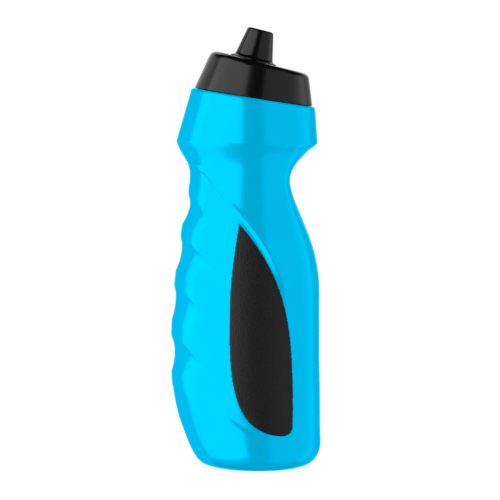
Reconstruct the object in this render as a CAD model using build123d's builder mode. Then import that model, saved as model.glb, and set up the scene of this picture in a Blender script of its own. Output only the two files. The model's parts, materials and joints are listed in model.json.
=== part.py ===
from build123d import *

import math
import os

# Squeeze bottle for sport: a blow-moulded bottle with a grip for the fingers and two rubber pads,
# a tapered screw lid that leans forwards, and a push-pull nozzle over a fixed stopper.
# Frame: +Z up, +X towards the thumb side, the finger side at -X, and Y across the two pads.
# The origin is under the middle of the whole object, on the surface it stands on.

os.makedirs("parts", exist_ok=True)

# ---------------------------------------------------------------- bottle, in millimetres
WALL = 1.4  # thickness of the blown wall
PAD_SUNK = 0.9  # depth of the recess that a pad lies in
PAD_PROUD = 0.3  # how far a pad stands out of the bottle's surface
PAD_GAP = 0.12  # groove all round a pad
POINTS_PER_SECTION = 24
BASE_PUSH_UP = 2.6  # rise of the dished base
BASE_CENTRE_X = 7.0
BASE_DISH_RADIUS = 23.0
FLOOR_THICKNESS = 1.8

# Stations of the outer surface up to the shoulder edge: height, left X, right X, half depth, X of the
# front's middle, and how square the thumb side is. The ridges between the fingers are at 53, 75, 99, 126
# and 152.
LOWER_STATIONS = [
    (0.0, -18.5, 31.2, 28.5, 7.0, 1.0),
    (1.9, -24.2, 36.2, 32.6, 6.4, 1.0),
    (6.0, -27.9, 39.6, 34.9, 5.8, 1.02),
    (18.0, -33.4, 41.0, 35.9, 4.6, 1.05),
    (35.6, -38.8, 40.8, 36.3, 2.8, 1.05),
    (53.2, -40.9, 40.5, 36.5, 2.0, 1.05),
    (62.5, -39.1, 40.4, 36.5, 1.8, 1.05),
    (75.2, -41.0, 40.3, 36.5, 1.8, 1.05),
    (90.5, -38.8, 40.3, 36.3, 1.9, 1.05),
    (99.6, -39.4, 40.3, 36.0, 2.0, 1.05),
    (108.6, -37.9, 39.3, 35.4, 2.1, 1.06),
    (118.0, -35.3, 37.4, 34.7, 2.2, 1.08),
    (126.0, -35.7, 34.8, 33.9, 2.2, 1.12),
    (134.6, -33.9, 31.4, 33.1, 2.2, 1.2),
    (144.5, -30.9, 27.4, 32.2, 2.2, 1.34),
    (152.2, -31.4, 24.9, 31.7, 2.2, 1.47),
    (158.8, -30.7, 24.5, 31.6, 2.2, 1.49),
    (165.4, -31.6, 27.5, 32.6, 2.4, 1.35),
    (171.6, -35.0, 32.9, 35.1, 2.8, 1.19),
]
SHOULDER = (178.0, -37.9, 39.5, 38.5, 3.2, 1.09)
FULLNESS = 6  # sharpness of the corners where the front and back meet a squarer thumb side
SHOULDER_ROUND = 1.6

# ---------------------------------------------------------------- neck and lid
NECK_TILT = 9.0  # degrees from upright, leaning to +X
SEAM_X = 4.3  # middle of the seam between bottle and lid
SEAM_Z = 201.85
SEAM_RADIUS = 34.1  # outer radius of the bottle at the seam
SEAM_ROUND = 1.5
MOUTH_RADIUS = 22.0
NECK_RADIUS = 23.6
NECK_HEIGHT = 13.0
NECK_ROUND = 0.5
THREAD_PITCH = 5.0
THREAD_TURNS = 1.15
THREAD_DEPTH = 1.3
THREAD_BASE = 2.2
THREAD_CREST = 1.1
THREAD_START = 5.3  # height of the bottle's thread above the seam, at its lower end
THREAD_SUNK = 0.4  # how far a ridge is sunk into its wall

LID_RADIUS = 32.7  # at its lower edge
LID_TAPER = 16.0  # degrees
LID_GAP = 0.25  # between the lid's lower edge and the bottle
LID_HEIGHT = 19.7  # on the neck's axis
LID_TOP_SLOPE = 5.0  # degrees that the lid's top falls towards +X, from square to the neck
LID_TOP_ROUND = 4.2
LID_WALL = 1.7
LID_EDGE_ROUND = 0.5
LID_BLANK_HEIGHT = 26.0  # of the cone that the lid's top is cut from
THREAD_WALL_INNER = 25.3
THREAD_WALL_OUTER = 26.9
THREAD_WALL_START = 1.4
GASKET_INNER = 21.75
GASKET_OUTER = 25.15
GASKET_THICKNESS = 1.5
GASKET_GAP = 0.05
LEDGE_THICKNESS = 1.6  # the ring that presses on the gasket
PLUG_LIP_INNER = 20.2  # thin lip that locates the lid inside the mouth
PLUG_LIP_OUTER = 21.6
PLUG_LIP_DROP = 2.6

# ---------------------------------------------------------------- nozzle and its valve
NOZZLE_OFFSET = -3.3  # of the nozzle's axis from the neck's, along the lid's top
NOZZLE_LENGTH = 17.3
NOZZLE_GAP = 0.2  # under the closed nozzle
NOZZLE_BASE_RADIUS = 10.7
NOZZLE_TIP_RADIUS = 7.1
NOZZLE_FOOT_RADIUS = 12.9
NOZZLE_FOOT_EDGE = 0.5  # thickness of the foot's rim
NOZZLE_FOOT_ROUND = 2.4
NOZZLE_TIP_ROUND = 1.6
OUTLET_RADIUS = 2.5
OUTLET_START = 14.0
OUTLET_FLARE = 0.5
SLIDE_CLEARANCE = 0.05
FOOT_RECESS_RADIUS = 6.7  # clears the bead at the tower's foot
LIP_START = 1.3
LIP_HEIGHT = 1.6  # the narrow lip in the nozzle that stops it coming off
BORE_RADIUS = 6.55  # of the nozzle above that lip
TOWER_RADIUS = 6.0
TOWER_BORE = 4.4
TOWER_TOP = 10.6
TOWER_BEAD_RADIUS = 6.4
TOWER_CHAMFER = 0.5
TOWER_HOLE_CLEARANCE = 0.05
FLANGE_RADIUS = 9.0
FLANGE_THICKNESS = 1.2
SNAP_RADIUS = 6.35  # bead that holds the tower in the lid's top
SNAP_START = 0.1
SNAP_END = 1.0
SEAL_GROOVE_START = 7.85
SEAL_GROOVE_WIDTH = 1.5
SEAL_GROOVE_RADIUS = 5.05
SEAL_SECTION = 0.72  # radius of the seal ring's round section
SEAL_RING_RADIUS = 5.8
SPOKES = 3
SPOKE_WIDTH = 1.3
SPOKE_START = 0.6
SPOKE_HEIGHT = 2.2
STEM_RADIUS = 1.7
STOPPER_RADIUS = 2.45
STOPPER_START = 13.6
STOPPER_END = 16.6
STOPPER_CHAMFER = 0.5

# ---------------------------------------------------------------- planes
tilt = math.radians(NECK_TILT)
neck_plane = Plane(
    origin=(SEAM_X, 0, SEAM_Z),
    x_dir=(math.cos(tilt), 0, -math.sin(tilt)),
    z_dir=(math.sin(tilt), 0, math.cos(tilt)),
)
neck_axis = Axis(neck_plane.origin, neck_plane.z_dir)

top_tilt = math.radians(NECK_TILT + LID_TOP_SLOPE)
top_x_dir = Vector(math.cos(top_tilt), 0, -math.sin(top_tilt))
nozzle_plane = Plane(
    origin=neck_plane.origin + neck_plane.z_dir * LID_HEIGHT + top_x_dir * NOZZLE_OFFSET,
    x_dir=top_x_dir,
    z_dir=(math.sin(top_tilt), 0, math.cos(top_tilt)),
)
nozzle_axis = Axis(nozzle_plane.origin, nozzle_plane.z_dir)


def radial(frame):
    """The plane through a frame's axis where X is the radius and Y is the height along the axis."""
    return Plane(origin=frame.origin, x_dir=frame.x_dir, z_dir=-frame.y_dir)


def level(height):
    """The plane square to the neck, at a height above the seam."""
    return neck_plane.offset(height)


# ---------------------------------------------------------------- the bottle's surfaces
def section(plane, finger, thumb, half_depth, square=1.0):
    """A face round a plane's origin, drawn through points that start at its +X side. It is oval, finger
    wide towards -X and thumb wide towards +X, and its +X side is squarer where square is over 1."""
    points = []
    for k in range(POINTS_PER_SECTION):
        angle = 2 * math.pi * k / POINTS_PER_SECTION
        share = max(math.cos(angle), 0)
        squared = square * share / (1 + (square**FULLNESS - 1) * share**FULLNESS) ** (1 / FULLNESS)
        points.append((finger * min(math.cos(angle), 0) + thumb * squared, half_depth * math.sin(angle)))
    with BuildSketch(plane) as face:
        with BuildLine():
            Spline(*points, periodic=True)
        make_face()
    return face.sketch


def station_section(station, inset):
    """The level face at one station, drawn inside its outline by inset."""
    height, left, right, half_depth, middle, square = station
    plane = Plane(origin=(middle, 0, height))
    return section(plane, middle - left - inset, right - middle - inset, half_depth - inset, square)


def lower_skin(inset, floor=0.0):
    """The solid inside the bottle's surface from the floor to the shoulder edge."""
    with BuildPart() as skin:
        loft([station_section(station, inset) for station in [*LOWER_STATIONS, SHOULDER]])
        if floor > 0:
            split(bisect_by=Plane.XY.offset(floor), keep=Keep.TOP)
    return skin.part


def head_skin(inset, drop=0.0):
    """The solid inside the bottle's surface from the shoulder edge to the tilted seam."""
    radius = SEAM_RADIUS - inset
    with BuildPart() as skin:
        loft([station_section(SHOULDER, inset), section(level(-drop), radius, radius, radius)], ruled=True)
    return skin.part


def pad_outline(grow):
    """One pad seen from the front, pointed at the top and round at the foot, and larger by grow."""
    tip = (-3.4, 134.2 + 3 * grow)
    heel = (20.4, 19.4 - grow)
    corner = (25.4 + grow, 24.6)
    finger_side = [(-7.6, 103.0), (-8.5, 72.0), (-5.6, 43.0)]
    thumb_side = [(25.4, 48.0), (22.8, 80.0), (15.2, 106.0)]
    Spline(
        tip,
        *[(x - grow, z) for x, z in finger_side],
        (2.6 - 0.7 * grow, 26.6 - 0.7 * grow),
        heel,
        tangents=[(-0.16, -1), (1, -0.02)],
    )
    RadiusArc(heel, corner, -5.2)
    Spline(corner, *[(x + grow, z) for x, z in thumb_side], tip, tangents=[(0.04, 1), (-0.66, 0.75)])


def pad_prism(grow):
    """A bar through the front half of the bottle with a pad's outline."""
    with BuildPart() as prism:
        with BuildSketch(Plane.XZ):
            with BuildLine():
                pad_outline(grow)
            make_face()
        extrude(amount=60)
    return prism.part


# ---------------------------------------------------------------- pads
outer_lower = lower_skin(0)
recess_floor = lower_skin(PAD_SUNK)

with BuildPart() as front_grip_pad:
    add(lower_skin(-PAD_PROUD))
    add(pad_prism(-PAD_GAP), mode=Mode.INTERSECT)
    add(recess_floor, mode=Mode.SUBTRACT)

with BuildPart() as back_grip_pad:
    add(front_grip_pad.part.mirror(Plane.XZ))


# ---------------------------------------------------------------- bottle
def thread_ridge(wall_radius, side):
    """One ridge that climbs anticlockwise from Z=0 on a round wall. Side is 1 outwards and -1 inwards."""
    sunk = wall_radius - side * THREAD_SUNK
    crest = wall_radius + side * THREAD_DEPTH
    with BuildPart() as ridge:
        with BuildLine() as path:
            Helix(THREAD_PITCH, THREAD_PITCH * THREAD_TURNS, wall_radius)
        with BuildSketch(Plane.XZ) as profile:
            with BuildLine():
                Polyline(
                    (sunk, -THREAD_BASE / 2),
                    (crest, -THREAD_CREST / 2),
                    (crest, THREAD_CREST / 2),
                    (sunk, THREAD_BASE / 2),
                    close=True,
                )
            make_face()
        sweep(profile.sketch, path=path.line, is_frenet=True)
    return ridge.part


front_recess = pad_prism(0) - recess_floor
inner_bulge = pad_prism(WALL) - lower_skin(PAD_SUNK + WALL)

with BuildPart() as cavity:
    add(lower_skin(WALL, floor=FLOOR_THICKNESS))
    add(inner_bulge, mode=Mode.SUBTRACT)
    add(inner_bulge.mirror(Plane.XZ), mode=Mode.SUBTRACT)
    add(head_skin(WALL, drop=WALL))
    with BuildSketch(Plane(origin=(BASE_CENTRE_X, 0, 0))):
        Circle(BASE_DISH_RADIUS)
    extrude(amount=BASE_PUSH_UP + FLOOR_THICKNESS, taper=20, mode=Mode.SUBTRACT)

with BuildPart() as bottle_body:
    add(outer_lower)
    add(head_skin(0))
    shoulder_edge = bottle_body.edges().filter_by_position(Axis.Z, SHOULDER[0] - 0.1, SHOULDER[0] + 0.1)
    fillet(shoulder_edge, SHOULDER_ROUND)
    fillet(bottle_body.edges().sort_by(neck_axis)[-1], SEAM_ROUND)
    add(front_recess, mode=Mode.SUBTRACT)
    add(front_recess.mirror(Plane.XZ), mode=Mode.SUBTRACT)
    with BuildSketch(level(-WALL)):
        Circle(NECK_RADIUS)
    extrude(amount=NECK_HEIGHT + WALL)
    fillet(bottle_body.edges().sort_by(neck_axis)[-1], NECK_ROUND)
    add(cavity.part, mode=Mode.SUBTRACT)
    with BuildSketch(level(-2 * WALL)):
        Circle(MOUTH_RADIUS)
    extrude(amount=NECK_HEIGHT + 3 * WALL, mode=Mode.SUBTRACT)
    with Locations(level(THREAD_START)):
        add(thread_ridge(NECK_RADIUS, 1))
    with BuildSketch(Plane(origin=(BASE_CENTRE_X, 0, 0))):
        Circle(BASE_DISH_RADIUS - FLOOR_THICKNESS)
    extrude(amount=BASE_PUSH_UP, taper=20, mode=Mode.SUBTRACT)


# ---------------------------------------------------------------- lid
def lid_cone(base_radius, start, top):
    """A cone on the neck's axis from a height above the seam to the sloping top plane."""
    narrowing = math.tan(math.radians(LID_TAPER))
    with BuildPart() as cone:
        with BuildSketch(radial(neck_plane)):
            with BuildLine():
                Polyline(
                    (0, start),
                    (base_radius - narrowing * start, start),
                    (base_radius - narrowing * LID_BLANK_HEIGHT, LID_BLANK_HEIGHT),
                    (0, LID_BLANK_HEIGHT),
                    close=True,
                )
            make_face()
        revolve(axis=neck_axis)
        split(bisect_by=top, keep=Keep.BOTTOM)
    return cone.part


def ring(inner, outer, start, end):
    """A plain ring round the neck's axis between two heights above the seam."""
    with BuildPart() as plain_ring:
        with BuildSketch(level(start)):
            Circle(outer)
            Circle(inner, mode=Mode.SUBTRACT)
        extrude(amount=end - start)
    return plain_ring.part


ledge_start = NECK_HEIGHT + GASKET_THICKNESS + 2 * GASKET_GAP

with BuildPart() as lid_blank:
    add(lid_cone(LID_RADIUS, LID_GAP, nozzle_plane))
    fillet(lid_blank.edges().sort_by(neck_axis)[-1], LID_TOP_ROUND)
    fillet(lid_blank.edges().sort_by(neck_axis)[0], LID_EDGE_ROUND)

with BuildPart() as lid_core:
    add(ring(THREAD_WALL_INNER, THREAD_WALL_OUTER, THREAD_WALL_START, LID_BLANK_HEIGHT))
    add(ring(PLUG_LIP_INNER, THREAD_WALL_OUTER, ledge_start, ledge_start + LEDGE_THICKNESS))
    add(ring(PLUG_LIP_INNER, PLUG_LIP_OUTER, ledge_start - PLUG_LIP_DROP, ledge_start))
    with Locations(level(THREAD_START - THREAD_PITCH / 2)):
        add(thread_ridge(THREAD_WALL_INNER, -1))
    add(lid_blank.part, mode=Mode.INTERSECT)

with BuildPart() as lid_shell:
    add(lid_blank.part)
    add(lid_cone(LID_RADIUS - LID_WALL, 0, nozzle_plane.offset(-LID_WALL)), mode=Mode.SUBTRACT)
    add(lid_core.part)
    with BuildSketch(nozzle_plane):
        Circle(TOWER_RADIUS + TOWER_HOLE_CLEARANCE)
    extrude(amount=LID_WALL + LEDGE_THICKNESS, both=True, mode=Mode.SUBTRACT)

with BuildPart() as lid_gasket:
    add(ring(GASKET_INNER, GASKET_OUTER, NECK_HEIGHT + GASKET_GAP, ledge_start - GASKET_GAP))

# ---------------------------------------------------------------- valve tower with its stopper
flange_start = -LID_WALL - FLANGE_THICKNESS
groove_end = SEAL_GROOVE_START + SEAL_GROOVE_WIDTH
spoke_length = TOWER_BORE + TOWER_RADIUS - SEAL_GROOVE_RADIUS  # it ends inside the tower's wall

with BuildPart() as valve_tower:
    with BuildSketch(radial(nozzle_plane)):
        with BuildLine():
            Polyline(
                (TOWER_BORE, flange_start),
                (FLANGE_RADIUS, flange_start),
                (FLANGE_RADIUS, -LID_WALL),
                (TOWER_RADIUS, -LID_WALL),
                (TOWER_RADIUS, SNAP_START),
                (SNAP_RADIUS, SNAP_START + (SNAP_RADIUS - TOWER_RADIUS)),
                (TOWER_RADIUS, SNAP_END),
                (TOWER_RADIUS, SEAL_GROOVE_START),
                (SEAL_GROOVE_RADIUS, SEAL_GROOVE_START),
                (SEAL_GROOVE_RADIUS, groove_end),
                (TOWER_BEAD_RADIUS, groove_end),
                (TOWER_BEAD_RADIUS, TOWER_TOP - TOWER_CHAMFER),
                (TOWER_BEAD_RADIUS - TOWER_CHAMFER, TOWER_TOP),
                (TOWER_BORE, TOWER_TOP),
                close=True,
            )
        make_face()
    revolve(axis=nozzle_axis)
    with BuildSketch(nozzle_plane.offset(SPOKE_START)):
        Circle(STEM_RADIUS)
        with PolarLocations(spoke_length / 2, SPOKES):
            Rectangle(spoke_length, SPOKE_WIDTH)
    extrude(amount=SPOKE_HEIGHT)
    with BuildSketch(nozzle_plane.offset(SPOKE_START)):
        Circle(STEM_RADIUS)
    extrude(amount=STOPPER_START - SPOKE_START)
    with BuildSketch(nozzle_plane.offset(STOPPER_START)):
        Circle(STOPPER_RADIUS)
    extrude(amount=STOPPER_END - STOPPER_START)
    chamfer(valve_tower.edges().sort_by(nozzle_axis)[-1], STOPPER_CHAMFER)

seal_centre = nozzle_plane.offset(SEAL_GROOVE_START + SEAL_GROOVE_WIDTH / 2)

with BuildPart() as nozzle_seal:
    with BuildSketch(radial(seal_centre)):
        with Locations((SEAL_RING_RADIUS, 0)):
            Circle(SEAL_SECTION)
    revolve(axis=nozzle_axis)

# ---------------------------------------------------------------- nozzle
foot_top = NOZZLE_GAP + NOZZLE_FOOT_EDGE
slide_radius = TOWER_RADIUS + SLIDE_CLEARANCE

with BuildPart() as nozzle:
    with BuildSketch(radial(nozzle_plane)) as profile:
        with BuildLine():
            Polyline(
                (0, NOZZLE_GAP),
                (NOZZLE_FOOT_RADIUS, NOZZLE_GAP),
                (NOZZLE_FOOT_RADIUS, foot_top),
                (NOZZLE_BASE_RADIUS, foot_top),
                (NOZZLE_TIP_RADIUS, NOZZLE_LENGTH),
                (0, NOZZLE_LENGTH),
                close=True,
            )
        make_face()
        foot_corner = profile.vertices().sort_by_distance((NOZZLE_BASE_RADIUS, foot_top))[0]
        fillet(foot_corner, NOZZLE_FOOT_ROUND)
    revolve(axis=nozzle_axis)
    fillet(nozzle.edges().sort_by(nozzle_axis)[-1], NOZZLE_TIP_ROUND)
    with BuildSketch(nozzle_plane):
        Circle(FOOT_RECESS_RADIUS)
    extrude(amount=LIP_START, mode=Mode.SUBTRACT)
    with BuildSketch(nozzle_plane):
        Circle(slide_radius)
    extrude(amount=LIP_START + LIP_HEIGHT, mode=Mode.SUBTRACT)
    with BuildSketch(nozzle_plane.offset(LIP_START + LIP_HEIGHT)):
        Circle(BORE_RADIUS)
    extrude(amount=OUTLET_START - LIP_START - LIP_HEIGHT, mode=Mode.SUBTRACT)
    with BuildSketch(nozzle_plane):
        Circle(OUTLET_RADIUS)
    extrude(amount=2 * NOZZLE_LENGTH, mode=Mode.SUBTRACT)
    tip_face = nozzle.faces().sort_by(nozzle_axis)[-1]
    chamfer(tip_face.inner_wires()[0].edges(), OUTLET_FLARE)

# ---------------------------------------------------------------- files
PIECES = {
    "bottle_body": bottle_body,
    "front_grip_pad": front_grip_pad,
    "back_grip_pad": back_grip_pad,
    "lid_shell": lid_shell,
    "lid_gasket": lid_gasket,
    "valve_tower": valve_tower,
    "nozzle_seal": nozzle_seal,
    "nozzle": nozzle,
}
for name, piece in PIECES.items():
    piece.part.label = name
    export_step(piece.part, f"parts/{name}.step")
print("brimful capacity, ml:", round(cavity.part.volume / 1000))
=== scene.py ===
import json
import math

import bpy
import numpy as np
from mathutils import Matrix, Vector


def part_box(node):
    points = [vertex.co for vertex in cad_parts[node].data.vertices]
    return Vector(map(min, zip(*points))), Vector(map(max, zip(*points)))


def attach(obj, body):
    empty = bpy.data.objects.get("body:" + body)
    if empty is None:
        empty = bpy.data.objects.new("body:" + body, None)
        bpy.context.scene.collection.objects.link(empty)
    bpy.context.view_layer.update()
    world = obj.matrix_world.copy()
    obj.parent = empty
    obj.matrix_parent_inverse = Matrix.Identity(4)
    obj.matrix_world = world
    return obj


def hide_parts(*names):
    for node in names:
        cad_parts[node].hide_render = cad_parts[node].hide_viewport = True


# The looks of a sports squeeze bottle, built round its CAD frame. The blown bottle and its two rubber
# pads are remade here as fine meshes, and a low bead is added under the nozzle's foot. The lid, the nozzle
# and the valve parts are the CAD's own. Shapes are worked out in millimetres and go into the meshes in
# metres.
# "turn" is the angle round the bottle: 0 at the thumb side (+X), 90 degrees at the front pad (-Y) and
# 180 degrees at the finger side (-X).

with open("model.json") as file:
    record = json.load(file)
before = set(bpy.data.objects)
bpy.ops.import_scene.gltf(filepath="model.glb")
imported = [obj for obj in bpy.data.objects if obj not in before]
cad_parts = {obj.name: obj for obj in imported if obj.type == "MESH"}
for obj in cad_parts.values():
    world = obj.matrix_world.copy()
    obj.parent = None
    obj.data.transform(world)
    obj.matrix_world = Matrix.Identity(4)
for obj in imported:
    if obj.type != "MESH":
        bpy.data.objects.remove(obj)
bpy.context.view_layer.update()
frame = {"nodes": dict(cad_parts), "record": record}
MM = 0.001
joints = {joint["name"]: joint for joint in frame["record"]["behaviour"]["joints"]}


def tilted(joint):
    """A joint's axis and the direction across it that leans to +X, both as unit vectors."""
    x, _, z = joint["axis"]
    length = math.hypot(x, z)
    return np.array([x, 0, z]) / length, np.array([z, 0, -x]) / length


neck_up, neck_right = tilted(joints["lid_turn"])
nozzle_up, nozzle_right = tilted(joints["nozzle_pull"])

# ---------------------------------------------------------------- the bottle's driving sizes
# Height, left X, right X, half depth, X of the front's middle and squareness of the thumb side, as in the
# CAD. Here the left X follows the ridges between the fingers, and the hollows are carved out below.
STATIONS = [
    (0.0, -18.2, 31.2, 29.5, 7.0, 1.0),
    (1.9, -24.4, 36.2, 33.0, 6.4, 1.0),
    (6.0, -28.1, 39.7, 35.1, 5.8, 1.02),
    (18.0, -33.5, 41.1, 35.9, 4.6, 1.05),
    (35.6, -39.1, 40.9, 36.3, 2.8, 1.05),
    (53.2, -40.9, 40.6, 36.5, 2.0, 1.05),
    (62.5, -41.0, 40.5, 36.5, 1.8, 1.05),
    (75.2, -40.8, 40.5, 36.5, 1.8, 1.05),
    (90.5, -40.0, 40.5, 36.3, 1.9, 1.05),
    (99.6, -39.2, 40.4, 36.0, 2.0, 1.05),
    (108.6, -38.2, 39.4, 35.4, 2.1, 1.06),
    (118.0, -37.0, 37.4, 34.7, 2.2, 1.08),
    (126.0, -35.8, 34.8, 33.9, 2.2, 1.12),
    (134.6, -34.4, 31.4, 33.1, 2.2, 1.2),
    (144.5, -32.6, 27.4, 32.2, 2.2, 1.34),
    (152.2, -31.2, 24.9, 31.7, 2.2, 1.47),
    (158.8, -30.5, 24.5, 31.6, 2.2, 1.49),
    (165.4, -31.5, 27.5, 32.6, 2.4, 1.35),
    (171.6, -34.9, 33.1, 35.1, 2.8, 1.19),
    (178.0, -37.9, 39.4, 38.5, 3.2, 1.09),
]
SHOULDER_DROP = 1.3  # how much lower the shoulder's edge lies at the thumb side
DROP_FROM = 172.0  # height from which the skin takes that up
DROP_OVER = 6.0
FULLNESS = 6  # sharpness of the corners where the front and back meet a squarer thumb side
SHOULDER_ROUND = 1.6
WALL = 1.4
SEAM = np.array(joints["lid_turn"]["pos_m"]) / MM  # middle of the seam between bottle and lid
SEAM_RADIUS = 34.1
SEAM_SHIFT = 1.3  # how far the rim's front middle lies towards the fingers
SEAM_ROUND = 1.5
SEAM_RINGS = (30.5, 28.0, 25.8, 24.2)  # radii of the rings on the seam's flat, inwards to the neck
UNDER_SEAM_RINGS = (22.6, 26.0, 30.0)  # and on its underside, outwards from the mouth
MOUTH_RADIUS = 22.0
MOUTH_CHAMFER = 0.25
MOUTH_RINGS = (9.0, 5.0, 1.0, -1.0)  # heights of the rings down the mouth, over the seam
NECK_RADIUS = 23.6
NECK_HEIGHT = 13.0
NECK_ROUND = 0.5
THREAD_PITCH = 5.0
THREAD_TURNS = 1.15
THREAD_DEPTH = 1.3
THREAD_BASE = 2.2
THREAD_CREST = 1.1
THREAD_START = 5.3
THREAD_FADE = 0.3  # angle over which the thread rises at its ends
DISH_RISE = 2.6
DISH_RADIUS = 21.2
DISH_FLAT = 16.5  # radius of the dish's flat middle
DISH_X = 7.0
DISH_RINGS = (1.0, 5.0, 10.0, 15.0, 18.0, 19.6, 20.4, 20.9, DISH_RADIUS)
FLOOR_THICKNESS = 1.8
WALL_FOOT = FLOOR_THICKNESS + 1.2  # height at which the wall's inside meets the floor's edge
# The floor inside, as shares of the way out to the wall and heights over the wall's foot.
FLOOR_PROFILE = [(0.9, -0.8), (0.75, -1.0), (0.6, 1.2), (0.4, 2.2), (0.2, 2.4), (0.04, 2.5)]
AROUND = 36.8  # radius that turns an angle round the bottle into a distance
CHUNK = 20000  # points measured at a time, which keeps the arrays small

# One pad's outline seen from the front: X and height, with its round corner.
PAD_TIP = (-3.4, 134.2)
PAD_FINGER_SIDE = [(-7.6, 103.0), (-8.5, 72.0), (-5.6, 43.0), (2.6, 26.6)]
PAD_HEEL = (20.4, 19.4)
PAD_CORNER = (25.4, 24.6)
PAD_CORNER_MIDDLE = np.array([20.5, 24.5])
PAD_CORNER_RADIUS = 5.0
PAD_POINTS = 600
PAD_THUMB_SIDE = [(25.4, 48.0), (22.8, 80.0), (15.2, 106.0)]
PAD_SUNK = 0.9
PAD_PROUD = 0.3
PAD_LIP = 0.05  # how far the pad's edge lies under the skin
PAD_CLEAR = 0.03  # gap between the pad and the floor of its recess


# ---------------------------------------------------------------- curves and small functions
def spline(knots, values, start=None, end=None):
    """A smooth curve through values at rising knots. start and end are its slopes there, or free."""
    knots, values = np.asarray(knots, float), np.asarray(values, float)
    values = values.reshape(len(knots), -1)
    last = len(knots) - 1
    gap = np.diff(knots)
    slope = np.diff(values, axis=0) / gap[:, None]
    system, right = np.eye(last + 1), np.zeros_like(values)
    for i in range(1, last):
        system[i, i - 1 : i + 2] = gap[i - 1], 2 * (gap[i - 1] + gap[i]), gap[i]
        right[i] = 6 * (slope[i] - slope[i - 1])
    if start is not None:
        system[0, :2] = 2 * gap[0], gap[0]
        right[0] = 6 * (slope[0] - np.asarray(start))
    if end is not None:
        system[last, last - 1 :] = gap[-1], 2 * gap[-1]
        right[last] = 6 * (np.asarray(end) - slope[-1])
    bend = np.linalg.solve(system, right)

    def curve(at):
        at = np.asarray(at, float)
        i = np.clip(np.searchsorted(knots, at) - 1, 0, last - 1)
        before, after = (knots[i + 1] - at)[..., None], (at - knots[i])[..., None]
        step = gap[i][..., None]
        cubic = (bend[i] * before**3 + bend[i + 1] * after**3) / (6 * step)
        low = (values[i] / step - bend[i] * step / 6) * before
        high = (values[i + 1] / step - bend[i + 1] * step / 6) * after
        return cubic + low + high

    return curve


def along(points):
    """The distance along a chain of points, at each point."""
    steps = np.linalg.norm(np.diff(np.asarray(points, float), axis=0), axis=1)
    return np.concatenate([[0], np.cumsum(steps)])


def ease(t):
    """From 0 to 1 with no corner, held outside that range."""
    t = np.clip(t, 0, 1)
    return t * t * (3 - 2 * t)


def ramp(t):
    """From 0 to 1 in a straight slope with small rounded corners."""
    corner = 0.16

    def rounded(u):
        return np.where(u > corner, u, np.where(u > -corner, (u + corner) ** 2 / (4 * corner), 0))

    return rounded(t) - rounded(t - 1)


# ---------------------------------------------------------------- the bottle's plain skin
stations = np.array(STATIONS)
station_at = along(stations[:, :4] * [1, 0.7, 0.7, 0.7])
station_curve = spline(station_at, stations)
SKIN_LENGTH = station_at[-1]


def skin(place, turn):
    """Points on the plain skin, place running from the base's edge to the shoulder."""
    z, left, right, depth, middle, square = np.moveaxis(station_curve(place), -1, 0)
    share = np.cos(turn)
    thumb = np.clip(share, 0, 1)
    thumb = square * thumb / (1 + (square**FULLNESS - 1) * thumb**FULLNESS) ** (1 / FULLNESS)
    x = middle + np.where(share < 0, (middle - left) * share, (right - middle) * thumb)
    z = z - SHOULDER_DROP * np.clip(share, 0, 1) * ease((z - DROP_FROM) / DROP_OVER)
    return np.stack([x, -depth * np.sin(turn), z], -1)


def skin_normal(place, turn):
    """The outward direction of the plain skin."""
    step, small_turn = 0.02, 0.001
    up = skin(place + step, turn) - skin(place - step, turn)
    round_it = skin(place, turn + small_turn) - skin(place, turn - small_turn)
    normal = np.cross(up, round_it)
    return normal / np.linalg.norm(normal, axis=-1, keepdims=True)


place_samples = np.linspace(0, SKIN_LENGTH, 2000)
height_samples = station_curve(place_samples)[:, 0]


def place_of(z):
    """Where along the skin a height is."""
    return np.interp(z, height_samples, place_samples)


def turn_of(x, z):
    """The angle round the front half at which the skin has this X at a height."""
    _, left, right, _, middle, square = np.moveaxis(station_curve(place_of(z)), -1, 0)
    corner = square**FULLNESS
    thumb = np.clip((x - middle) / (right - middle), 0, 1)
    thumb = thumb / (corner - (corner - 1) * thumb**FULLNESS) ** (1 / FULLNESS)
    return np.arccos(np.where(x < middle, np.clip((x - middle) / (middle - left), -1, 0), thumb))


def unfold(turn):
    """An angle folded onto the front half, the distance round from the front's middle, positive
    towards the thumb, and the distance round from the finger side."""
    folded = np.abs((turn + math.pi) % (2 * math.pi) - math.pi)
    return folded, AROUND * (math.pi / 2 - folded), AROUND * (math.pi - folded)


def unroll(x, z):
    """Distance round the front from its middle, positive towards the thumb, and height."""
    return np.stack([AROUND * (math.pi / 2 - turn_of(np.asarray(x), np.asarray(z))), z], -1)


# ---------------------------------------------------------------- the pad's outline
def pad_outline():
    """The outline as evenly spaced points, anticlockwise seen from the front, from the tip."""
    down = [PAD_TIP, *PAD_FINGER_SIDE, PAD_HEEL]
    up = [PAD_CORNER, *PAD_THUMB_SIDE, PAD_TIP]
    first = spline(along(down), down, start=(-0.16, -1), end=(1, -0.02))
    second = spline(along(up), up, start=(0.04, 1), end=(-0.66, 0.75))
    turns = np.linspace(0.02, 1.55, 12)[:, None]  # a quarter turn, a little short of the curves' ends
    arc = PAD_CORNER_MIDDLE + PAD_CORNER_RADIUS * np.hstack([np.sin(turns), -np.cos(turns)])
    chain = np.concatenate(
        [
            first(np.linspace(0, along(down)[-1], 400)),
            arc,
            second(np.linspace(0, along(up)[-1], 400)),
        ]
    )
    at = along(chain)
    even = np.linspace(0, at[-1], PAD_POINTS + 1)[:-1]
    return np.stack([np.interp(even, at, chain[:, k]) for k in range(2)], -1)


PAD = pad_outline()


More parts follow.
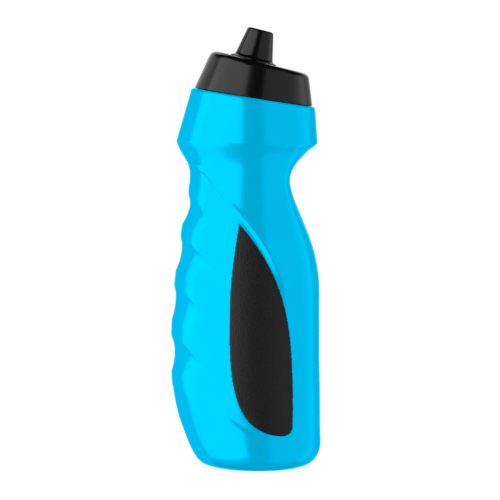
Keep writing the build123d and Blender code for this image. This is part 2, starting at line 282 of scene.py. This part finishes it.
def inside_pad(x, z):
    """Distance to the pad's outline in the front view, positive inside it."""
    points = np.stack([np.ravel(x), np.ravel(z)], -1)
    result = np.empty(len(points))
    a, b = PAD, np.roll(PAD, -1, axis=0)
    edge = b - a
    for start in range(0, len(points), CHUNK):
        p = points[start : start + CHUNK, None, :]
        t = np.clip(((p - a) * edge).sum(-1) / (edge**2).sum(-1), 0, 1)
        near = np.linalg.norm(p - a - t[..., None] * edge, axis=-1).min(1)
        crosses = (a[:, 1] > p[..., 1]) != (b[:, 1] > p[..., 1])
        with np.errstate(divide="ignore", invalid="ignore"):
            hit = edge[:, 0] * (p[..., 1] - a[:, 1]) / edge[:, 1] + a[:, 0]
        odd = (crosses & (p[..., 0] < hit)).sum(1) % 2 == 1
        result[start : start + CHUNK] = np.where(odd, near, -near)
    return result.reshape(np.shape(x))


# ---------------------------------------------------------------- relief on the skin
def rim(points, sizes):
    """A line on the unrolled skin. It gives each point's signed distance (left of the line is
    positive) and the sizes interpolated along it at the nearest place."""
    knots = along(points)
    fine = np.linspace(0, knots[-1], 300)
    line = spline(knots, points)(fine)
    share, *columns = np.asarray(sizes, float).T
    fine_sizes = np.stack([np.interp(fine / knots[-1], share, column) for column in columns], -1)
    heading = np.gradient(line, axis=0)
    heading /= np.linalg.norm(heading, axis=1, keepdims=True)

    def measure(around, z):
        points = np.stack([np.ravel(around), np.ravel(z)], -1)
        distance, size = np.empty(len(points)), np.empty((len(points), fine_sizes.shape[1]))
        for start in range(0, len(points), CHUNK):
            away = points[start : start + CHUNK, None, :] - line
            near = (away**2).sum(-1).argmin(1)
            rows = np.arange(len(near))
            step, head = away[rows, near], heading[near]
            side = head[:, 0] * step[:, 1] - head[:, 1] * step[:, 0]
            distance[start : start + CHUNK] = np.where(side >= 0, 1, -1) * np.linalg.norm(step, axis=1)
            size[start : start + CHUNK] = fine_sizes[near]
        shape = np.shape(around)
        return distance.reshape(shape), *np.moveaxis(size.reshape(*shape, -1), -1, 0)

    return measure


# The strap's lower edge, from the finger side down to the pad's tip and on along the pad.
strap_x = np.array([-23.7, -15.0, -7.2, 0.6, 8.2, 14.6, 20.3, 24.3, 25.9, 26.0])
strap_z = np.array([161.8, 151.3, 142.6, 132.6, 120.9, 107.7, 90.0, 66.0, 45.0, 27.0])
STRAP_START = [(-75.0, 169.0), (-57.8, 167.2), (-44.0, 165.3)]  # its first points, unrolled already
strap_line = np.concatenate([STRAP_START, unroll(strap_x, strap_z)])
# share of the way along, height of the step, width of its bevel, height of the bead on its edge
STRAP_SIZES = [
    (0.0, 0.1, 1.1, 0.05),
    (0.13, 0.1, 1.1, 0.1),
    (0.2, 0.4, 1.1, 0.45),
    (0.33, 0.4, 1.1, 0.45),
    (0.40, 0.5, 1.3, 0.2),
    (0.46, 0.8, 2.1, 0.0),
    (0.52, 1.35, 2.6, 0.0),
    (0.57, 1.65, 2.9, 0.0),
    (0.62, 1.45, 2.9, 0.0),
    (0.66, 0.6, 1.9, 0.0),
    (0.70, 0.3, 0.9, 0.0),
    (0.9, 0.25, 0.8, 0.0),
    (1.0, 0.0, 0.8, 0.0),
]
strap = rim(strap_line, STRAP_SIZES)
STRAP_FADE = 24.0  # distance over which the raised strap sinks back into the skin
BEAD_WIDTH = 0.9
ROUND_FROM = -4.0  # where the strap's flat bevel starts to turn round, towards the fingers
ROUND_OVER = 8.0  # distance over which it does so

# The lower rim of the hollow that the pad lies in, from the finger side round under the pad.
crease_x = np.array([-12.1, -8.8, -4.5, 0.3, 5.7, 11.1])
crease_z = np.array([31.2, 28.9, 25.8, 22.4, 19.6, 17.8])
# share of the way along, depth of the crease, width of its wall
CREASE_SIZES = [
    (0.0, 0.0, 0.7),
    (0.15, 0.3, 1.1),
    (0.4, 0.5, 1.8),
    (0.6, 0.35, 2.6),
    (0.8, 0.1, 3.0),
    (1.0, 0.0, 3.0),
]
crease = rim(unroll(crease_x, crease_z), CREASE_SIZES)
CREASE_FADE = 12.0  # distance over which the hollow's floor rises back to the skin

# Finger hollows: height of the ridge above each one at the finger side, the hollow's depth, how far its
# middle lies under the ridge and how far that climbs forwards, its reach forwards and how suddenly it
# ends there, how far forwards the ledge under the ridge is crispest, and its width there.
HOLLOWS = [
    (152.4, 2.3, 9.2, 2.0, 33.0, 2, 26.0, 4.0),
    (127.8, 1.85, 10.1, 4.5, 39.5, 5, 33.0, 1.0),
    (100.9, 1.5, 10.3, 5.0, 36.0, 3, 24.0, 1.0),
    (73.9, 2.0, 11.7, 5.5, 36.0, 3, 25.0, 1.0),
    (47.9, 0.4, 10.3, 3.0, 27.0, 3, 21.0, 1.0),
]
RIDGE_DROP = 7.1  # of a ridge 25 mm forwards from the finger side
HOLLOW_HALF = 10.4
LEDGE_SOFTER = 5.0  # how much wider a ledge is at the finger side than where it is crispest
LEDGE_SOFT_TO = 6.0  # distance forwards over which it stays that wide
LEDGE_GROWTH = 0.5  # how fast it widens again past its crispest place


def under_ridge(forwards, z, ridge):
    """How far a place is below a ridge between fingers."""
    return ridge - RIDGE_DROP * (forwards / 25) ** 2 - z


def finger_hollow(forwards, z, ridge, deep, middle, climb, reach, end, crisp_at, crisp):
    """One finger's hollow: a ledge on top that sharpens forwards, and a bowl under it."""
    below = under_ridge(forwards, z, ridge)
    share = np.clip(forwards / reach, 0, 1)
    from_middle = (below - middle + climb * share**2) / HOLLOW_HALF
    bowl = np.maximum(1 - share**end - from_middle**2, 0)
    soft = 1 - ease((forwards - LEDGE_SOFT_TO) / (crisp_at - LEDGE_SOFT_TO - 2))
    ledge = crisp + LEDGE_SOFTER * soft + LEDGE_GROWTH * np.maximum(forwards - crisp_at, 0)
    return -deep * bowl * ease(below / ledge)


def relief(place, turn, with_recess=True):
    """How far the skin stands out of its plain oval sections."""
    folded, around, to_finger = unfold(turn)
    point = skin(place, folded)
    x, z = point[..., 0], point[..., 2]
    distance, high, wide, bead = strap(around, z)
    fade = np.exp(-((np.maximum(distance, 0) / STRAP_FADE) ** 2))
    round_edge = ease((ROUND_FROM - around) / ROUND_OVER)
    profile = (1 - round_edge) * ramp(distance / wide)
    profile = profile + round_edge * (1 - (1 - np.clip(distance / wide, 0, 1)) ** 2)
    out = high * profile * fade + bead * np.exp(-(((distance - wide) / BEAD_WIDTH) ** 2))
    inner, sunk, width = crease(around, z)
    out = out - sunk * ease(0.5 + inner / width) * np.exp(-((np.maximum(inner, 0) / CREASE_FADE) ** 2))
    for hollow in HOLLOWS:
        out = out + finger_hollow(to_finger, z, *hollow)
    if with_recess:
        out = out - PAD_SUNK * (inside_pad(x, z) > 0)
    return out


def outer(place, turn):
    """Points on the finished outside of the bottle, below the shoulder."""
    return skin(place, turn) + skin_normal(place, turn) * relief(place, turn)[..., None]


# ---------------------------------------------------------------- meshes
SMOOTH_ANGLE = math.radians(40)  # edges sharper than this stay crisp


def new_object(name, points, faces, body, material):
    """A mesh object from points in millimetres that rides on a body, with one material."""
    mesh = bpy.data.meshes.new(name)
    mesh.from_pydata((np.asarray(points) * MM).tolist(), [], faces)
    mesh.polygons.foreach_set("use_smooth", np.ones(len(mesh.polygons), bool))
    mesh.set_sharp_from_angle(angle=SMOOTH_ANGLE)
    mesh.materials.append(material)
    mesh.update()
    piece = bpy.data.objects.new(name, mesh)
    bpy.context.scene.collection.objects.link(piece)
    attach(piece, body)
    return piece


FINE = 4  # lattice steps along one side of a full-size cell
COLUMNS = 208  # full-size cells round the bottle
ROWS = 164  # and up its skin


def cell_sizes(rows, columns):
    """For each full-size cell, the size in lattice steps of the cells that it is cut into. They are
    finer round the finger hollows, the crease and the strap, and finest along crisp edges."""
    row, column = np.meshgrid(np.arange(rows), np.arange(columns), indexing="ij")
    place = (row + 0.5) / rows * SKIN_LENGTH
    turn = (column + 0.5) / columns * 2 * math.pi
    folded, around, to_finger = unfold(turn)
    point = skin(place, folded)
    x, z = point[..., 0], point[..., 2]
    distance, high, wide, _ = strap(around, z)
    size = np.full(row.shape, FINE)
    for ridge, _, _, _, reach, _, _, _ in HOLLOWS:
        below = under_ridge(to_finger, z, ridge)
        # where the hollow ends forwards, its ledge, and the crisp part of that
        size = np.where((below > -2) & (below < 18) & (np.abs(to_finger - reach) < 3), 2, size)
        size = np.where((below > -2) & (below < 4) & (to_finger < reach), 2, size)
        size = np.where((below > -0.9) & (below < 2.0) & (to_finger < reach) & (to_finger > 12), 1, size)
    inner = crease(around, z)[0]
    size = np.where((np.abs(inner) < 4) & (around < 12), 2, size)
    # the strap's bevel, finer where it is high, and the edge of the pad's recess
    size = np.where((distance > -2) & (distance < wide + 2) & (high > 0.01), 2, size)
    size = np.where((distance > -1.2) & (distance < wide + 1.4) & (high > 0.3), 1, size)
    size = np.where(np.abs(inside_pad(x, z)) < 0.9, 1, size)
    size[:2], size[-2:] = FINE, FINE  # plain at both ends, where the rings join on
    return size


def lattice(rows, columns):
    """Cells of the skin as polygons on a fine lattice, every corner that lies on an edge included."""
    size = cell_sizes(rows, columns)
    wide = columns * FINE
    used = np.zeros((rows * FINE + 1, wide), bool)
    cells = []
    for r in range(rows):
        for c in range(columns):
            step = int(size[r, c])
            for i in range(r * FINE, (r + 1) * FINE, step):
                for j in range(c * FINE, (c + 1) * FINE, step):
                    cells.append((i, j, step))
                    for di in (0, step):
                        for dj in (0, step):
                            used[i + di, (j + dj) % wide] = True
    index = -np.ones(used.shape, int)
    index[used] = np.arange(used.sum())
    faces = []
    for i, j, step in cells:
        ring = [(i + k, j) for k in range(step)]
        ring += [(i + step, j + k) for k in range(step)]
        ring += [(i + step - k, j + step) for k in range(step)]
        ring += [(i, j + step - k) for k in range(step)]
        corners = [index[a, b % wide] for a, b in ring]
        faces.append([k for k in corners if k >= 0])
    at = np.argwhere(used)
    return at, index, faces


def ring_faces(first, second, count):
    """Quads between two rings of points."""
    faces = []
    for k in range(count):
        after = (k + 1) % count
        faces.append([first + k, second + k, second + after, first + after])
    return faces


def neck_ring(radius, height, turn):
    """Points round the neck's axis at a height above the seam."""
    radius = np.broadcast_to(radius, turn.shape)[:, None]
    height = np.broadcast_to(height, turn.shape)[:, None]
    across = np.cos(turn)[:, None] * neck_right - np.sin(turn)[:, None] * np.array([0, 1.0, 0])
    return SEAM + radius * across + height * neck_up


def thread(height, turn):
    """How far the thread stands out of the neck at a height."""
    out = np.zeros_like(turn)
    for lap in range(2):
        angle = (-turn) % (2 * math.pi) + 2 * math.pi * lap
        total = 2 * math.pi * THREAD_TURNS
        fade = ease(angle / THREAD_FADE) * ease((total - angle) / THREAD_FADE)
        off = np.abs(height - THREAD_START - THREAD_PITCH * angle / (2 * math.pi))
        slope = (THREAD_BASE / 2 - off) / (THREAD_BASE / 2 - THREAD_CREST / 2)
        out = np.maximum(out, THREAD_DEPTH * np.clip(slope, 0, 1) * fade)
    return out


def arc_between(corner, first, second, radius, steps):
    """Points of a rounded corner from the side towards first to the side towards second."""
    corner, first, second = (np.asarray(p, float) for p in (corner, first, second))
    u = (first - corner) / np.linalg.norm(first - corner, axis=-1, keepdims=True)
    v = (second - corner) / np.linalg.norm(second - corner, axis=-1, keepdims=True)
    half = np.arccos(np.clip((u * v).sum(-1, keepdims=True), -1, 1)) / 2
    middle = (u + v) / np.linalg.norm(u + v, axis=-1, keepdims=True)
    centre = corner + middle * radius / np.sin(half)
    start = corner + u * radius / np.tan(half) - centre
    end = corner + v * radius / np.tan(half) - centre
    points = []
    for t in np.linspace(0, 1, steps):
        spoke = start * (1 - t) + end * t
        points.append(centre + spoke / np.linalg.norm(spoke, axis=-1, keepdims=True) * radius)
    return points


def bottle_rings_above(turn):
    """Rings from the shoulder's edge, over the neck and down its inside to under the seam."""
    shoulder = skin(np.full(turn.shape, SKIN_LENGTH), turn)
    below = skin(np.full(turn.shape, place_of(STATIONS[-2][0])), turn)
    seam = neck_ring(SEAM_RADIUS, 0, turn)
    seam = seam - neck_right * (SEAM_SHIFT * (1 - np.abs(np.cos(turn)))[:, None])
    foot = neck_ring(NECK_RADIUS, 0, turn)
    rings = arc_between(shoulder, below, seam, SHOULDER_ROUND, 7)
    seam_corner = arc_between(seam, shoulder, foot, SEAM_ROUND, 7)
    low = rings[-1]
    for t in np.linspace(0, 1, 18)[1:-1]:
        rings.append(low * (1 - t) + seam_corner[0] * t)
    rings += seam_corner
    for radius in SEAM_RINGS:
        rings.append(neck_ring(radius, 0, turn))
    for height in np.linspace(0, NECK_HEIGHT - NECK_ROUND, 30):
        rings.append(neck_ring(NECK_RADIUS + thread(height, turn), height, turn))
    for a in np.linspace(0, math.pi / 2, 5)[1:]:
        radius = NECK_RADIUS - NECK_ROUND * (1 - math.cos(a))
        rings.append(neck_ring(radius, NECK_HEIGHT - NECK_ROUND * (1 - math.sin(a)), turn))
    rings.append(neck_ring(MOUTH_RADIUS + MOUTH_CHAMFER, NECK_HEIGHT, turn))
    rings.append(neck_ring(MOUTH_RADIUS, NECK_HEIGHT - MOUTH_CHAMFER, turn))
    for height in MOUTH_RINGS:
        rings.append(neck_ring(MOUTH_RADIUS, height, turn))
    for radius in (*UNDER_SEAM_RINGS, SEAM_RADIUS - WALL - 1.0):
        rings.append(neck_ring(radius, -WALL, turn))
    return rings


def bottle_rings_inside(turn):
    """Rings down the inside wall, from under the seam to the middle of the floor."""
    rings = []
    seam = neck_ring(SEAM_RADIUS - WALL, -WALL - 1.0, turn)
    shoulder = skin(np.full(turn.shape, SKIN_LENGTH), turn)
    shoulder = shoulder - skin_normal(np.full(turn.shape, SKIN_LENGTH - 1), turn) * [1, 1, 0] * WALL
    for t in np.linspace(0, 1, 7)[:-1]:
        rings.append(seam * (1 - t) + shoulder * t)
    for place in np.linspace(SKIN_LENGTH, place_of(WALL_FOOT), 50):
        at = np.full(turn.shape, place)
        inset = skin_normal(at, turn) * [1, 1, 0.3]  # mostly sideways, so that the heights stay in order
        rings.append(skin(at, turn) + inset * (relief(at, turn)[:, None] - WALL))
    edge = rings[-1]
    middle = np.array([DISH_X, 0, edge[:, 2].mean()])
    for share, rise in FLOOR_PROFILE:
        rings.append(middle + (edge - middle) * share + [0, 0, rise])
    return rings


def base_rings(turn):
    """Rings under the base, from its middle out to the skin's lower edge."""
    rings = []
    for radius in DISH_RINGS:
        rise = DISH_RISE * (1 - ease((radius - DISH_FLAT) / (DISH_RADIUS - DISH_FLAT)))
        x, y = DISH_X + radius * np.cos(turn), -radius * np.sin(turn)
        rings.append(np.stack([x, y, np.full(turn.shape, rise)], -1))
    return rings


def make_bottle(material):
    """The bottle as one closed mesh: skin, shoulder, seam, neck, inside and base."""
    at, index, faces = lattice(ROWS, COLUMNS)
    place = at[:, 0] / (ROWS * FINE) * SKIN_LENGTH
    turn = at[:, 1] / (COLUMNS * FINE) * 2 * math.pi
    shoulder_stop = SKIN_LENGTH - SHOULDER_ROUND * 1.2  # just under the rounded edge
    place = place * shoulder_stop / SKIN_LENGTH
    points = [outer(place, turn)]
    count = len(at)
    lowest, highest = index[0, ::FINE], index[-1, ::FINE]
    even = np.arange(COLUMNS) / COLUMNS * 2 * math.pi

    above = bottle_rings_above(even)
    points += above
    first = count
    for k in range(COLUMNS):
        after = (k + 1) % COLUMNS
        faces.append([highest[k], first + k, first + after, highest[after]])
    for n in range(len(above) - 1):
        faces += ring_faces(first + n * COLUMNS, first + (n + 1) * COLUMNS, COLUMNS)
    last_above = first + (len(above) - 1) * COLUMNS
    count += len(above) * COLUMNS

    half = COLUMNS // 2  # the inside is coarser
    inside = bottle_rings_inside(even[::2])
    points += inside
    for k in range(half):
        after = (k + 1) % half
        outer_three = [last_above + 2 * k, last_above + 2 * k + 1, last_above + (2 * k + 2) % COLUMNS]
        faces.append([*outer_three, count + after, count + k][::-1])
    for n in range(len(inside) - 1):
        faces += ring_faces(count + n * half, count + (n + 1) * half, half)
    faces.append([count + (len(inside) - 1) * half + k for k in range(half)][::-1])
    count += len(inside) * half

    under = base_rings(even)
    points += under
    faces.append([count + k for k in range(COLUMNS)])
    for n in range(len(under) - 1):
        faces += ring_faces(count + n * COLUMNS, count + (n + 1) * COLUMNS, COLUMNS)
    last_under = count + (len(under) - 1) * COLUMNS
    for k in range(COLUMNS):
        after = (k + 1) % COLUMNS
        faces.append([last_under + k, lowest[k], lowest[after], last_under + after])
    bottle = new_object("bottle", np.concatenate(points), faces, "bottle", material)
    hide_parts("bottle_body")
    return bottle


PAD_ROWS = 280
PAD_COLUMNS = 76
PAD_CROWN_WIDTH = 0.9  # width of the pad's rounded edge
PAD_END = 0.004  # how far the first and last rows stay from the outline's ends
ROW_CROWDING = 0.55  # how much closer the rows lie towards the ends than in the middle, from 0 to 1
COLUMN_CROWDING = 0.75
GRAIN_HEIGHT = 0.035
GRAIN_PITCH = 1.25
GRAIN_FROM = 0.5  # distance from the pad's edge at which the grain starts
GRAIN_OVER = 0.8


def crowded(count, amount):
    """Shares from 0 to 1 that lie closer together towards both ends."""
    share = np.linspace(0, 1, count)
    return share - amount * np.sin(2 * math.pi * share) / (2 * math.pi)


def pad_grain(x, z):
    """Shallow wavering bumps over the pad's face."""
    across = np.sin(x * 2 * math.pi / GRAIN_PITCH + np.sin(z * 5.0))
    along_it = np.sin(z * 2 * math.pi / GRAIN_PITCH + np.sin(x * 4.0))
    return GRAIN_HEIGHT * across * along_it


def make_pad(name, node, material):
    """A rubber pad in its recess, at the front or the back, wherever the CAD's pad lies."""
    rows, columns = PAD_ROWS, PAD_COLUMNS
    low, high = PAD[:, 1].min(), PAD[:, 1].max()
    heights = low + (high - low) * crowded(rows, ROW_CROWDING)
    heights[0], heights[-1] = low + PAD_END, high - PAD_END
    across = crowded(columns, COLUMN_CROWDING)
    a, b = PAD, np.roll(PAD, -1, axis=0)
    grid = []
    for z in heights:
        crosses = (a[:, 1] > z) != (b[:, 1] > z)
        t = (z - a[crosses, 1]) / (b[crosses, 1] - a[crosses, 1])
        hits = a[crosses, 0] + t * (b[crosses, 0] - a[crosses, 0])
        grid.append(np.stack([hits.min() + (hits.max() - hits.min()) * across, np.full(columns, z)], -1))
    grid = np.array(grid)
    x, z = grid[..., 0], grid[..., 1]
    place, turn = place_of(z), turn_of(x, z)
    edge = np.maximum(inside_pad(x, z), 0)
    crown = PAD_PROUD * np.sqrt(1 - (1 - np.clip(edge / PAD_CROWN_WIDTH, 0, 1)) ** 2)
    base, normal = skin(place, turn), skin_normal(place, turn)
    level = relief(place, turn, with_recess=False)
    face = level - PAD_LIP + crown + pad_grain(x, z) * ease((edge - GRAIN_FROM) / GRAIN_OVER)
    top = base + normal * face[..., None]
    bottom = base + normal * (level - PAD_SUNK + PAD_CLEAR)[..., None]
    points = np.concatenate([top.reshape(-1, 3), bottom.reshape(-1, 3)])
    at_the_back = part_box(node)[0].y > 0
    if at_the_back:
        points[:, 1] *= -1
    faces = []
    for r in range(rows - 1):
        for c in range(columns - 1):
            k = r * columns + c
            faces.append([k, k + 1, k + columns + 1, k + columns])
            k += rows * columns
            faces.append([k, k + columns, k + columns + 1, k + 1])
    loop = [r * columns for r in range(rows)]
    loop += [(rows - 1) * columns + c for c in range(1, columns)]
    loop += [r * columns + columns - 1 for r in range(rows - 2, -1, -1)]
    loop += list(range(columns - 2, 0, -1))
    for k, here in enumerate(loop):
        after = loop[(k + 1) % len(loop)]
        faces.append([here, after, after + rows * columns, here + rows * columns])
    if at_the_back:
        faces = [face[::-1] for face in faces]
    pad = new_object(name, points, faces, "bottle", material)
    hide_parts(node)
    return pad


LID_HEIGHT = 19.7  # on the neck's axis, to the lid's sloping top
NOZZLE_BACK = 3.3  # how far the nozzle's axis lies back along the sloping top
# The bead's section as radius and height over the lid's top.
SEAT_SECTION = [(11.0, -0.05), (11.05, 0.1), (11.2, 0.16), (12.3, 0.16), (12.45, 0.1), (12.5, -0.05)]
SEAT_COLUMNS = 96


def make_nozzle_seat(material):
    """A low bead on the lid's top under the foot of the closed nozzle."""
    foot = SEAM + LID_HEIGHT * neck_up - NOZZLE_BACK * nozzle_right
    turn = np.arange(SEAT_COLUMNS)[:, None] / SEAT_COLUMNS * 2 * math.pi
    spokes = np.cos(turn) * nozzle_right + np.sin(turn) * np.array([0, 1.0, 0])
    rings = [foot + radius * spokes + height * nozzle_up for radius, height in SEAT_SECTION]
    points = np.concatenate(rings)
    faces = []
    for n in range(len(SEAT_SECTION)):
        after = (n + 1) % len(SEAT_SECTION)
        faces += ring_faces(n * SEAT_COLUMNS, after * SEAT_COLUMNS, SEAT_COLUMNS)
    return new_object("nozzle_seat", points, faces, "lid", material)


# ---------------------------------------------------------------- materials
class Nodes:
    """A material's node tree with short calls to add to it."""

    def __init__(self, name):
        self.material = bpy.data.materials.new(name)
        self.material.use_nodes = True
        self.tree = self.material.node_tree
        self.shader = self.tree.nodes["Principled BSDF"]
        self.place = self.tree.nodes.new("ShaderNodeTexCoord").outputs["Object"]

    def add(self, kind, inputs=(), **settings):
        """A new node with its inputs set or linked and its own settings."""
        node = self.tree.nodes.new(kind)
        for key, value in settings.items():
            setattr(node, key, value)
        for key, value in dict(inputs).items():
            if isinstance(value, bpy.types.NodeSocket):
                self.tree.links.new(value, node.inputs[key])
            else:
                node.inputs[key].default_value = value
        return node

    def noise(self, scale, detail=2.0):
        """Soft noise from 0 to 1, scale being its features per metre."""
        inputs = {"Vector": self.place, "Scale": scale, "Detail": detail}
        return self.add("ShaderNodeTexNoise", inputs).outputs["Fac"]

    def blend(self, share, low, high):
        """A colour that goes from low to high as share goes from 0 to 1."""
        node = self.add("ShaderNodeValToRGB", {"Fac": share})
        node.color_ramp.elements[0].position = 0.3
        node.color_ramp.elements[1].position = 0.7
        node.color_ramp.elements[0].color = (*low, 1)
        node.color_ramp.elements[1].color = (*high, 1)
        return node.outputs["Color"]

    def between(self, share, low, high):
        """A number that goes from low to high over the middle of share's range."""
        inputs = {"Value": share, "From Min": 0.3, "From Max": 0.7, "To Min": low, "To Max": high}
        return self.add("ShaderNodeMapRange", inputs).outputs["Result"]

    def bump(self, height, distance, below=None):
        """A normal for a relief that is distance metres high where height is 1, laid over below."""
        inputs = {"Height": height, "Distance": distance, "Strength": 1.0}
        if below is not None:
            inputs["Normal"] = below
        return self.add("ShaderNodeBump", inputs).outputs["Normal"]

    def drive(self, **sockets):
        """Sets the shader's inputs to numbers or to other nodes' outputs."""
        for name, value in sockets.items():
            socket = self.shader.inputs[name.replace("_", " ")]
            if isinstance(value, bpy.types.NodeSocket):
                self.tree.links.new(value, socket)
            else:
                socket.default_value = value


def bottle_plastic():
    """Satin-gloss blown polyethylene: faint waves from the mould and a very fine grain."""
    m = Nodes("bottle_plastic")
    colour = m.blend(m.noise(45.0, 3.0), (0.0, 0.56, 0.95), (0.0, 0.58, 0.98))
    waves = m.bump(m.noise(120.0), 0.00002)
    grain = m.bump(m.noise(1800.0, 1.0), 0.000003, waves)
    m.drive(
        Base_Color=colour,
        Roughness=m.between(m.noise(300.0, 3.0), 0.17, 0.21),
        Metallic=0.35,
        IOR=1.45,
        Specular_IOR_Level=0.0,
        Specular_Tint=(0.0, 0.9, 1.0, 1.0),
        Normal=grain,
    )
    return m.material


def pad_rubber():
    """Matt black rubber with a fine pebbled grain."""
    m = Nodes("pad_rubber")
    cells = m.add("ShaderNodeTexVoronoi", {"Vector": m.place, "Scale": 1100.0}, feature="SMOOTH_F1")
    pebbles = m.bump(cells.outputs["Distance"], 0.00006)
    fine = m.bump(m.noise(2600.0, 2.0), 0.00002, pebbles)
    m.drive(
        Base_Color=m.blend(m.noise(500.0, 3.0), (0.0032, 0.0032, 0.0034), (0.005, 0.005, 0.005)),
        Roughness=m.between(m.noise(900.0), 0.42, 0.52),
        IOR=1.5,
        Normal=fine,
    )
    return m.material


def lid_plastic():
    """Polished black polypropylene."""
    m = Nodes("lid_plastic")
    waves = m.bump(m.noise(160.0), 0.00001)
    m.drive(
        Base_Color=m.blend(m.noise(60.0, 3.0), (0.002, 0.002, 0.0021), (0.003, 0.003, 0.0031)),
        Roughness=m.between(m.noise(260.0, 3.0), 0.2, 0.25),
        IOR=1.5,
        Normal=m.bump(m.noise(2200.0, 1.0), 0.000003, waves),
    )
    return m.material


def seal_silicone():
    """Milky soft silicone."""
    m = Nodes("seal_silicone")
    m.drive(
        Base_Color=m.blend(m.noise(300.0, 3.0), (0.58, 0.60, 0.60), (0.68, 0.69, 0.69)),
        Roughness=m.between(m.noise(700.0, 3.0), 0.38, 0.5),
        Subsurface_Weight=0.3,
        Subsurface_Scale=0.001,
        IOR=1.42,
        Normal=m.bump(m.noise(1500.0, 2.0), 0.00001),
    )
    return m.material


# ---------------------------------------------------------------- the object
materials = {
    "bottle_plastic": bottle_plastic(),
    "pad_rubber": pad_rubber(),
    "lid_plastic": lid_plastic(),
    "seal_silicone": seal_silicone(),
}
make_bottle(materials["bottle_plastic"])
make_pad("pad_front", "front_grip_pad", materials["pad_rubber"])
make_pad("pad_back", "back_grip_pad", materials["pad_rubber"])
make_nozzle_seat(materials["lid_plastic"])
for entry in frame["record"]["subparts"]:
    if entry["node"] not in ("bottle_body", "front_grip_pad", "back_grip_pad"):
        node = frame["nodes"][entry["node"]]
        for slot in node.material_slots:
            slot.material = materials[entry["material_slot"]]


# ---------------------------------------------------------------- floor, light and camera
def plane(name, corners, material):
    """A flat piece of the stage."""
    mesh = bpy.data.meshes.new(name)
    mesh.from_pydata(corners, [], [(0, 1, 2, 3)])
    mesh.materials.append(material)
    shape = bpy.data.objects.new(name, mesh)
    bpy.context.scene.collection.objects.link(shape)
    return shape


# The floor glows, so that it melts into the white backdrop. Neither shows in reflections.
floor_look = Nodes("floor_paint")
floor_look.drive(
    Base_Color=(0.22, 0.22, 0.22, 1),
    Roughness=0.9,
    Emission_Color=(1.0, 1.0, 1.0, 1),
    Emission_Strength=0.84,
)
FLOOR = 6.0  # half its width in metres
floor = plane(
    "floor",
    [(-FLOOR, -FLOOR, 0), (FLOOR, -FLOOR, 0), (FLOOR, FLOOR, 0), (-FLOOR, FLOOR, 0)],
    floor_look.material,
)
floor.visible_glossy = False

scene = bpy.context.scene
scene.view_settings.view_transform = "Standard"
scene.view_settings.look = "None"
world = bpy.data.worlds.new("studio")
world.use_nodes = True
world.node_tree.nodes["Background"].inputs["Color"].default_value = (1, 1, 1, 1)
world.node_tree.nodes["Background"].inputs["Strength"].default_value = 1.0
world.cycles_visibility.glossy = False
scene.world = world


def soft_box(name, start, end, bottom, top, radiance):
    """A tall flat lamp between two places round the bottle, each an angle from the front (positive
    to the right, in degrees) and a distance. Distances and heights are in metres."""
    a, b = (
        Vector((distance * math.sin(math.radians(angle)), -distance * math.cos(math.radians(angle)), 0))
        for angle, distance in (start, end)
    )
    width, height = (b - a).length, top - bottom
    lamp = bpy.data.lights.new(name, "AREA")
    lamp.shape = "RECTANGLE"
    lamp.size, lamp.size_y = width, height
    lamp.energy = radiance * math.pi * width * height
    holder = bpy.data.objects.new(name, lamp)
    middle = (a + b) / 2
    holder.location = (middle.x, middle.y, (top + bottom) / 2)
    across = (b - a).normalized()
    outwards = Vector((middle.x, middle.y, 0))
    outwards = (outwards - outwards.dot(across) * across).normalized()
    up = Vector((0, 0, 1))
    side = up.cross(outwards)
    facing = Matrix((side, up, outwards)).transposed().to_4x4()
    holder.matrix_world = Matrix.Translation(holder.location) @ facing
    holder.visible_camera = False
    holder.visible_diffuse = False
    bpy.context.scene.collection.objects.link(holder)
    return holder


# A wide bright lamp stands at the front left and a weaker one at the front right, with a gap between them.
# The others stand at the sides and behind, for the reflections along the bottle's edges.
soft_box("key_left", (-13, 1.0), (-106, 0.7), -0.47, 0.97, 1.42)
soft_box("key_left_low", (-13, 1.0), (-106, 0.7), -0.85, -0.47, 0.4)
soft_box("key_left_hot", (-86, 0.66), (-106, 0.69), -0.15, 0.6, 0.35)
soft_box("fill_right", (23.5, 1.0), (92, 0.8), -0.9, 0.97, 0.46)
soft_box("fill_right_end", (92, 0.8), (106, 0.8), -0.67, 0.52, 0.62)
soft_box("strip_right", (106, 0.8), (125.5, 0.8), -0.67, 0.52, 0.85)
soft_box("dark_right", (125.5, 0.8), (154, 0.8), -0.67, 0.52, 0.33)
soft_box("back_right", (155, 0.8), (179, 0.8), -0.67, 0.97, 0.9)
soft_box("back_left", (-110, 0.8), (-154, 0.8), -0.67, 0.6, 0.58)
soft_box("back", (-155, 0.8), (-179, 0.8), -0.67, 0.97, 0.9)

CAMERA_HEIGHT = 0.2245
CAMERA_DISTANCE = 1.8
AIM = Vector((0.0024, 0.0, 0.1183))
camera_data = bpy.data.cameras.new("camera")
camera_data.sensor_width = 36.0
camera_data.lens = 236.7
camera = bpy.data.objects.new("camera", camera_data)
camera.location = (AIM.x, -CAMERA_DISTANCE, CAMERA_HEIGHT)
camera.rotation_euler = (AIM - camera.location).to_track_quat("-Z", "Y").to_euler()
scene.collection.objects.link(camera)
scene.camera = camera
